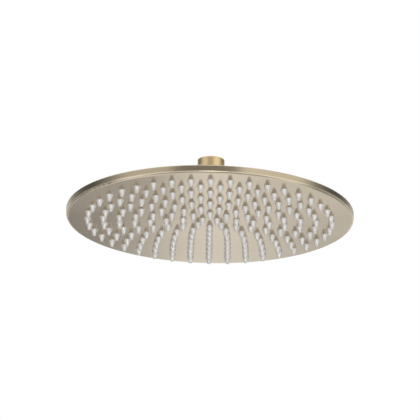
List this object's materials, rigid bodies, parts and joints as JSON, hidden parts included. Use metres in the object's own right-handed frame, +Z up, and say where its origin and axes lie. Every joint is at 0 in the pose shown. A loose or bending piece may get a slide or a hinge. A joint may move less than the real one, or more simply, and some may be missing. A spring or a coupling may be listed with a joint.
{
  "type": "shower head",
  "caption": "Round slim overhead rain shower head in brushed brass, with rings of soft cone nozzles and a ball-joint threaded inlet on top.",
  "frame": {"origin": "centre of the inlet collar's open mouth", "axes": "+Z up, out of the inlet and along the supply pipe; the spray leaves towards -Z; the picture looks along +Y from below"},
  "size_m": [0.25, 0.25, 0.0632],
  "materials": {
    "brushed_brass": "brushed champagne brass, satin",
    "plain_brass": "turned, uncoated",
    "silicone": "translucent white, soft satin",
    "black_rubber": "matt",
    "screen_steel": "bright stainless",
    "acetal": "moulded, satin",
    "nylon": "moulded, natural"
  },
  "bodies": {
    "inlet": {"ball_stem": "brushed_brass", "inlet_washer": "black_rubber", "filter_screen": "screen_steel", "flow_regulator": "acetal", "regulator_ring": "black_rubber"},
    "liner": {"ball_liner": "nylon"},
    "head": {"face_pan": "brushed_brass", "nozzle_mat": "silicone", "rim_gasket": "black_rubber", "back_cover": "brushed_brass", "stay_pillars": "plain_brass", "swivel_nut": "brushed_brass", "swivel_socket": "brushed_brass", "seat_ring": "black_rubber", "socket_seal": "black_rubber", "lock_nut": "plain_brass"}
  },
  "joints": [
    {"name": "head_spin", "type": "hinge", "parent": "inlet", "child": "liner", "pos_m": [0, 0, -0.03372], "axis": [0, 0, 1], "continuous": true},
    {"name": "head_tilt", "type": "hinge", "parent": "liner", "child": "head", "pos_m": [0, 0, -0.03372], "axis": [1, 0, 0], "range_deg": [-13, 13]}
  ]
}
